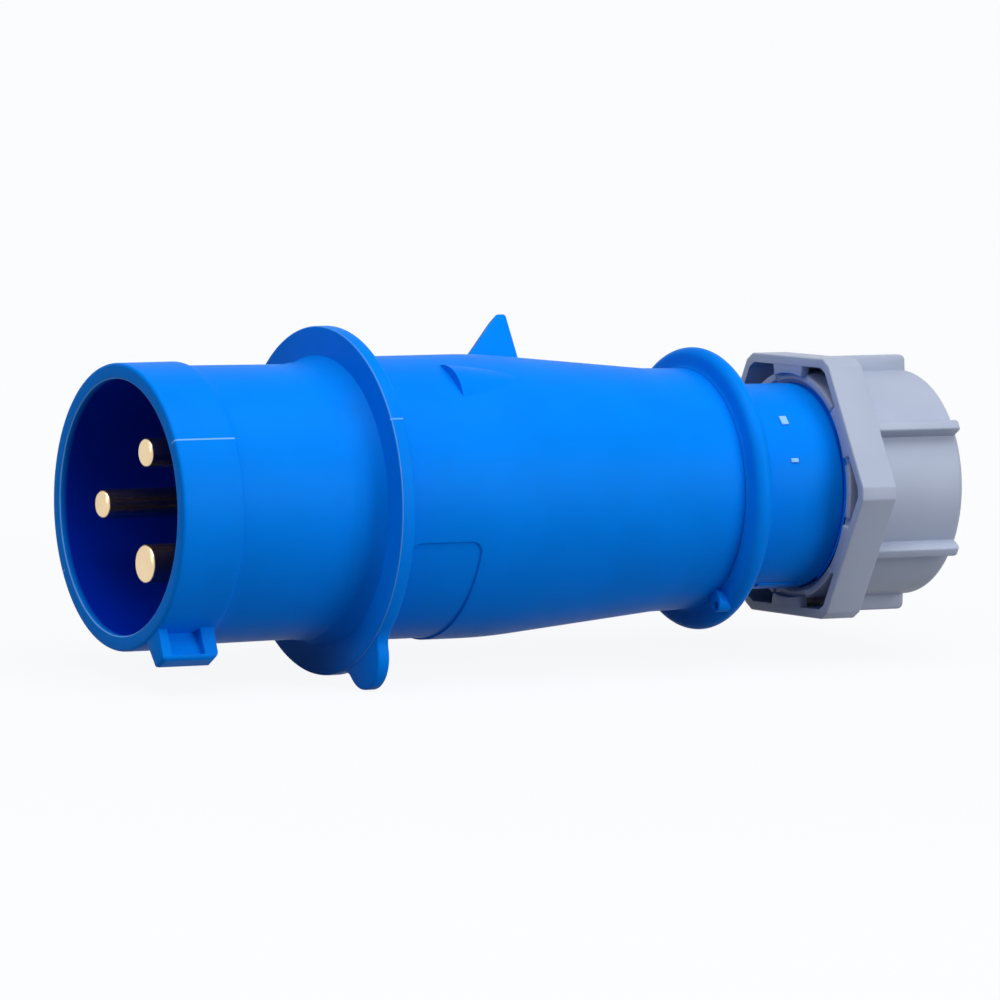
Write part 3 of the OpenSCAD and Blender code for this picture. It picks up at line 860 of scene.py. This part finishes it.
class PLUG_OT_rear_housing(bpy.types.Operator):
    """Rear collar, release boss and the neck with its thread"""
    bl_idname = "plug.rear_housing"
    bl_label = "Rear housing"

    def execute(self, context):
        s = context.scene.plug_rear
        blue = bpy.data.materials["blue moulded plastic"]
        body = turned("neck", rear_outline(s), even_angles(200))
        neck = s.neck_r / MM
        rib = bevelled(plate("rib", mm([(144.5, neck - 1), (144.9, neck + 0.35), (154.5, neck + 0.35),
                                        (154.9, neck - 1)]), 0.8 * MM, -9.5), 0.2 * MM)
        tick = bevelled(plate("tick", mm([(145.6, neck - 1), (145.7, neck + 0.3), (147.4, neck + 0.3),
                                          (147.5, neck - 1)]), 1.1 * MM, 102), 0.15 * MM)
        dash = bevelled(plate("dash", mm([(145.4, neck - 1), (145.5, neck + 0.3), (147.3, neck + 0.3),
                                          (147.4, neck - 1)]), 0.45 * MM, 77), 0.15 * MM)
        lugs = [sector("lug", 122.4 * MM, 124.9 * MM, 22 * MM, 23.85 * MM, a + 22, 6.5) for a in (0, 120, 240)]
        lugs = [bevelled(lug, 0.2 * MM) for lug in lugs]
        ridge = thread("ridge", s.thread_x, s.neck_r - 0.4 * MM, s.pitch, s.turns, blue)
        ridge.data.materials.clear()
        whole = joined("rear_moulding", [body, release_boss(s), rib, tick, dash, ridge] + lugs)
        placed(whole, "housing", "rear_housing", slot="blue_plastic", material=blue)
        return {"FINISHED"}


# ---- contacts and inner pieces ------------------------------------------

def contact_outline(r, flare, block, tip):
    out = [(tip, 0), (tip, r - 1.3)] + arc(tip + 1, r - 1, 1, 170, 95, 6)
    out += line(tip + 1.2, r, 44, r, 6.0) + [(44, r), (44, r + 0.5), (52, r + 0.5)]
    out += [(52, flare - 0.2), (52.2, flare), (55, flare), (55, block)]
    out += [(78.4, block), (79, block - 0.6), (79, 2.8), (78.8, 2.6), (63, 2.6), (62, 0)]
    return mm(out)


class PLUG_OT_contacts(bpy.types.Operator):
    """The contact pins with their terminal blocks"""
    bl_idname = "plug.contacts"
    bl_label = "Contacts"

    def execute(self, context):
        brass = bpy.data.materials["turned contact brass"]
        for name, a, r, flare, block, tip in (
                ("line", 120, 3, 6.3, 5.4, 2.6), ("neutral", -120, 3, 6.3, 5.4, 2.6),
                ("earth", 0, 4, 6.8, 6.0, 2.3)):
            pin = turned(name + "_contact", contact_outline(r, flare, block, tip), even_angles(64))
            hole = turned("hole", mm([(0, 0), (0, 2.45), (9, 2.45), (9, 0)]), even_angles(40))
            hole.data.transform(Matrix.Translation((70 * MM, 0, 0)) @ Matrix.Rotation(pi / 2, 4, "Y"))
            cut(pin, hole)
            pin.data.transform(Matrix.Rotation(-radians(a), 4, "X")
                               @ Matrix.Translation((0, 0, -PIN_CIRCLE)))
            placed(pin, "housing", name + "_pin", slot="contact_brass", material=brass)
        return {"FINISHED"}


class PLUG_OT_carrier(bpy.types.Operator):
    """Contact carrier, its screws, the clamps and the seal keep their solids"""
    bl_idname = "plug.carrier"
    bl_label = "Contact carrier"

    def execute(self, context):
        for node in ("front_insulator", "rear_insulator"):
            dress(node, bpy.data.materials["dark insulator plastic"])
        for node in ("insulator_screw", "carrier_screws", "line_clamp", "neutral_clamp", "earth_clamp",
                     "line_screw", "neutral_screw", "earth_screw"):
            dress(node, bpy.data.materials["zinc plated steel"])
        dress("housing_seal", bpy.data.materials["black rubber"])
        return {"FINISHED"}


class PLUG_OT_gland_inside(bpy.types.Operator):
    """Grommet, clamping fingers and thrust ring"""
    bl_idname = "plug.gland_inside"
    bl_label = "Inside of the gland"

    def execute(self, context):
        rubber = bpy.data.materials["black rubber"]
        grey = bpy.data.materials["grey moulded plastic"]
        x0, x1, bore, out = 150.2, 163.5, 8.6, 17.9
        ribs = []
        for i in range(4):
            middle = x1 - 2.6 - i * 2.6
            ribs += [(middle + 0.9, bore), (middle + 0.5, bore + 0.5), (middle - 0.5, bore + 0.5),
                     (middle - 0.9, bore)]
        outline = [(x0, bore + 1.2)] + arc(x0 + 0.8, out - 0.8, 0.8, 180, 90, 4)
        outline += arc(x1 - 0.8, out - 0.8, 0.8, 90, 0, 4) + [(x1, bore + 1.2), (x1 - 1.2, bore)]
        outline += ribs + [(x0 + 1.2, bore)]
        grommet = turned("grommet", mm(outline), even_angles(96))
        placed(grommet, "housing", "cable_grommet", slot="black_rubber", material=rubber)

        base = turned("base", mm([(x1, 14.6), (x1, 17.9), (172, 17.9), (172, 19.2), (173.2, 19.2),
                                  (173.6, 18.8), (173.6, 15.3)]), even_angles(96))
        half = 12.6
        rows = []
        bm = bmesh.new()
        for x, inner, outer in ((173.0, 15.3, 17.7), (178.2, 12.95, 15.0), (179.0, 13.1, 14.6)):
            ring = [at(x * MM, r * MM, t) for r, t in
                    [(inner, -half + i * half / 4) for i in range(9)]
                    + [(outer, half - i * half / 4) for i in range(9)]]
            rows.append([bm.verts.new(p) for p in ring])
        bm.faces.new(rows[0])
        bm.faces.new(list(reversed(rows[-1])))
        for first, second in zip(rows, rows[1:]):
            for i in range(len(first)):
                j = (i + 1) % len(first)
                bm.faces.new((first[i], first[j], second[j], second[i]))
        bmesh.ops.recalc_face_normals(bm, faces=bm.faces)
        finger = bevelled(object_from(bm, "finger"), 0.15 * MM, 2)
        fingers = round_axis(finger, 12, grey)
        fingers.data.transform(Matrix.Rotation(radians(15), 4, "X"))
        placed(joined("finger_cage", [base, fingers]), "housing", "clamp_cage", slot="grey_plastic",
               material=grey)

        outline = [(182.05, 13.4), (182.2, 13.0), (182.6, 12.6), (184.0, 12.6), (184.15, 12.75),
                   (184.15, 16.4), (184.0, 16.52), (182.2, 16.52), (182.05, 16.4)]
        ring = turned("washer", mm(outline), even_angles(96))
        placed(ring, "ring", "thrust_ring", slot="grey_plastic", material=grey)
        return {"FINISHED"}


# ---- gland nut -----------------------------------------------------------

def hexagon(apothem, corner_r, n):
    """A polygon of n flats whose corners are cut square."""
    half = (apothem / cos(pi / n) - corner_r) * tan(pi / 2 - pi / n)
    points = []
    for i in range(n):
        c = (i + 0.5) * 2 * pi / n
        for side in (1, -1):
            points.append((corner_r * cos(c) + side * half * sin(c),
                           corner_r * sin(c) - side * half * cos(c)))
    # (y, z) with a flat at -Z
    return [(-q, -p) for p, q in points]


def hex_shell(n):
    """The hexagon with its hollow, open at the front."""
    x0, back, bottom = n.nut_x, 165 * MM, 163.3 * MM
    outer = bevelled(slab("outer", x0, back, hexagon(n.apothem, n.corner_r, n.sides)), 0.35 * MM, 3, 20)
    hollow = slab("hollow", x0 - 1 * MM, bottom,
                  hexagon(n.apothem - n.skin, n.corner_r - 2 * MM, n.sides))
    bore = turned("bore", mm([(150, 0), (150, 21.48), (170, 21.48), (170, 0)]), even_angles(128))
    return cut(outer, bevelled(hollow, 0.3 * MM, 2, 20), bore)


class PLUG_OT_gland_nut(bpy.types.Operator):
    """Hexagonal cap nut with its tabs, sleeve and ribs"""
    bl_idname = "plug.gland_nut"
    bl_label = "Gland nut"

    def execute(self, context):
        n = context.scene.plug_nut
        grey = bpy.data.materials["grey moulded plastic"]
        cap, end, bore = n.cap_r / MM, 186, 12.4
        outline = [(158.2, 22.3), (158.7, 21.48), (169, 21.48), (169, 21.9), (175.8, 21.9), (177, 19.8),
                   (181.5, 15.7), (182, 15.7), (182, 16.6), (184.2, 16.6), (184.2, bore), (185.7, bore),
                   (186, bore + 0.3)]
        outline += line(end, bore + 0.8, end, cap - 1.6, 1.5)
        outline += arc(end - 1.5, cap - 1.55, 1.5, 0, 90, 8)
        outline += line(end - 2, cap - 0.03, 166.2, cap, 2.0)
        outline += arc(166.2, cap + 0.9, 0.9, 270, 185, 5)
        outline += [(164.2, cap + 0.9), (164.2, 24.0), (159.0, 24.0)] + arc(158.7, 23.6, 0.4, 45, 180, 4)
        sleeve = turned("sleeve", mm(outline), even_angles(192))
        tab = bevelled(sector("tab", n.nut_x + 0.05 * MM, n.nut_x + 2 * MM, 23.4 * MM, n.apothem - 0.6 * MM, 0, 13),
                       0.25 * MM)
        lip = bevelled(sector("lip", 157.7 * MM, 160 * MM, 22.3 * MM, 24 * MM, 30, 14), 0.35 * MM)
        rib_outline = [(164.5, cap - 1), (164.5, n.rib_r / MM)]
        rib_outline += arc(end - 2.0, n.rib_r / MM - 1.2, 1.2, 90, 5, 6) + [(end - 0.7, cap - 1.2)]
        rib = bevelled(plate("rib", mm(rib_outline), n.rib_w / 2), 0.45 * MM)
        details = round_axis(joined("details", [tab, lip, rib]), n.sides, grey)
        details.data.materials.clear()
        whole = joined("nut", [hex_shell(n), sleeve, details])
        whole.data.transform(Matrix.Rotation(-n.turn - radians(30), 4, "X"))
        placed(whole, "nut", "gland_nut", slot="grey_plastic", material=grey)
        return {"FINISHED"}


# ---- materials and stage ---------------------------------------------------

class PLUG_OT_materials(bpy.types.Operator):
    """Makes the finishes that the pieces share"""
    bl_idname = "plug.materials"
    bl_label = "Finishes"

    def execute(self, context):
        for make in (blue_plastic, grey_plastic, dark_plastic, turned_brass, plated_steel, soft_rubber):
            make()
        return {"FINISHED"}


def seen_white(tree, shader, share, rgb=(1, 1, 1), strength=None):
    """Mixes white light into a shader for the rays that look at it."""
    path = tree.nodes.new("ShaderNodeLightPath")
    looks = path.outputs["Is Camera Ray"]
    for other in ("Is Glossy Ray", "Is Transmission Ray"):
        either = tree.nodes.new("ShaderNodeMath")
        either.operation = "MAXIMUM"
        tree.links.new(looks, either.inputs[0])
        tree.links.new(path.outputs[other], either.inputs[1])
        looks = either.outputs[0]
    amount = tree.nodes.new("ShaderNodeMath")
    amount.operation = "MULTIPLY"
    if isinstance(share, float):
        amount.inputs[1].default_value = share
    else:
        tree.links.new(share, amount.inputs[1])
    tree.links.new(looks, amount.inputs[0])
    white = tree.nodes.new("ShaderNodeEmission")
    white.inputs["Color"].default_value = (*rgb, 1)
    if strength:
        tree.links.new(strength, white.inputs["Strength"])
    mix = tree.nodes.new("ShaderNodeMixShader")
    tree.links.new(amount.outputs[0], mix.inputs[0])
    tree.links.new(shader, mix.inputs[1])
    tree.links.new(white.outputs[0], mix.inputs[2])
    return mix.outputs[0]


def floor_material(rgb, bright):
    """Floor that looks white and keeps the soft shadow near the plug."""
    material = bpy.data.materials.new("pale floor")
    material.use_nodes = True
    tree = material.node_tree
    shader = tree.nodes["Principled BSDF"]
    shader.inputs["Base Color"].default_value = (*rgb, 1)
    shader.inputs["Roughness"].default_value = 0.9
    shader.inputs["Specular IOR Level"].default_value = 0.0
    place = tree.nodes.new("ShaderNodeTexCoord")
    away = tree.nodes.new("ShaderNodeVectorMath")
    away.operation = "LENGTH"
    tree.links.new(place.outputs["Object"], away.inputs[0])
    # the white light stands in for all but the shadow, and takes over far from the plug
    ramps = []
    for near_value, far_value in ((0.8, 1.0), (1.18, 1.0)):
        ramp = tree.nodes.new("ShaderNodeMapRange")
        ramp.interpolation_type = "SMOOTHSTEP"
        for name, given in (("From Min", 0.1), ("From Max", 0.55), ("To Min", near_value), ("To Max", far_value)):
            ramp.inputs[name].default_value = given
        tree.links.new(away.outputs["Value"], ramp.inputs["Value"])
        ramps.append(ramp.outputs[0])
    tree.links.new(seen_white(tree, shader.outputs[0], ramps[0], bright, ramps[1]),
                   tree.nodes["Material Output"].inputs["Surface"])
    return material


def softbox(name, place, target, size, power, rgb=(1, 1, 1)):
    lamp = bpy.data.lights.new(name, "AREA")
    lamp.shape = "RECTANGLE"
    lamp.size, lamp.size_y = size
    lamp.energy = power
    lamp.color = rgb
    light = bpy.data.objects.new(name, lamp)
    light.location = place
    way = Vector(target) - Vector(place)
    light.rotation_euler = way.to_track_quat("-Z", "Y").to_euler()
    bpy.context.scene.collection.objects.link(light)


class PLUG_OT_stage(bpy.types.Operator):
    """Floor, soft light and camera"""
    bl_idname = "plug.stage"
    bl_label = "Stage"

    def execute(self, context):
        s = context.scene.plug_stage
        scene = context.scene
        scene.view_settings.view_transform = "Standard"

        bm = bmesh.new()
        depth, side, bend = 1.6, 2.2, 0.5
        section = [(-depth, 0.0)]
        section += [(depth + bend * sin(radians(9 * i)), bend - bend * cos(radians(9 * i))) for i in range(11)]
        section += [(depth + bend, 2.6)]
        rows = [[bm.verts.new((x, y, z)) for x in (-side, side)] for y, z in section]
        for low, high in zip(rows, rows[1:]):
            bm.faces.new((low[0], low[1], high[1], high[0]))
        floor = object_from(bm, "studio_floor")
        floor.data.polygons.foreach_set("use_smooth", [True] * len(floor.data.polygons))
        floor.data.materials.append(floor_material(s.floor_colour, s.backdrop_colour))

        world = bpy.data.worlds.new("studio")
        scene.world = world
        world.use_nodes = True
        tree = world.node_tree
        soft = tree.nodes["Background"]
        soft.inputs["Color"].default_value = (1, 1, 1, 1)
        soft.inputs["Strength"].default_value = 0.14
        tree.links.new(seen_white(tree, soft.outputs[0], 1.0), tree.nodes["World Output"].inputs["Surface"])

        softbox("overhead softbox", (-0.1, -0.35, 1.2), (0, 0, 0.03), (1.4, 1.0), 15.5)
        softbox("side softbox", (0.85, -1.4, 0.55), (0, 0, 0.03), (0.9, 0.9), 14)
        softbox("rim softbox", (-1.5, -0.5, 0.75), (0, 0, 0.03), (0.7, 0.7), 4)

        camera = bpy.data.cameras.new("view")
        camera.lens = s.lens
        camera.sensor_width = 36
        camera.clip_end = 20
        eye = bpy.data.objects.new("view", camera)
        scene.collection.objects.link(eye)
        ahead = Vector(s.camera_ahead).normalized()
        right = ahead.cross(Vector(s.camera_up)).normalized()
        up = right.cross(ahead)
        turn = Matrix((right, up, -ahead)).transposed()
        eye.matrix_world = Matrix.Translation(s.camera_place) @ turn.to_4x4()
        scene.camera = eye
        return {"FINISHED"}


# ---- add-on ------------------------------------------------------------------

STEPS = ("stage", "materials", "front_housing", "rear_housing", "contacts", "carrier", "gland_inside",
         "gland_nut")


class PLUG_PT_pieces(bpy.types.Panel):
    """Lists the plug's sizes and the steps that build it"""
    bl_label = "Pin and sleeve plug"
    bl_idname = "PLUG_PT_pieces"
    bl_space_type = "VIEW_3D"
    bl_region_type = "UI"
    bl_category = "Plug"

    def draw(self, context):
        column = self.layout.column(align=True)
        for step in STEPS:
            column.operator("plug." + step)
        for group in GROUPS:
            box = self.layout.box()
            values = getattr(context.scene, group)
            for name in values.bl_rna.properties.keys():
                if name not in ("rna_type", "name"):
                    box.prop(values, name)


GROUPS = {
    "plug_housing": PlugHousing, "plug_rear": PlugRear, "plug_nut": PlugNut,
    "plug_colours": PlugColours, "plug_stage": PlugStage,
}
CLASSES = (
    *GROUPS.values(), PLUG_OT_stage, PLUG_OT_materials, PLUG_OT_front_housing, PLUG_OT_rear_housing,
    PLUG_OT_contacts, PLUG_OT_carrier, PLUG_OT_gland_inside, PLUG_OT_gland_nut, PLUG_PT_pieces,
)


def register():
    for cls in CLASSES:
        bpy.utils.register_class(cls)
    for name, group in GROUPS.items():
        setattr(bpy.types.Scene, name, PointerProperty(type=group))


def unregister():
    for name in GROUPS:
        delattr(bpy.types.Scene, name)
    for cls in reversed(CLASSES):
        bpy.utils.unregister_class(cls)


def main():
    register()
    for step in STEPS:
        getattr(bpy.ops.plug, step)()


if __name__ == "__main__":
    main()
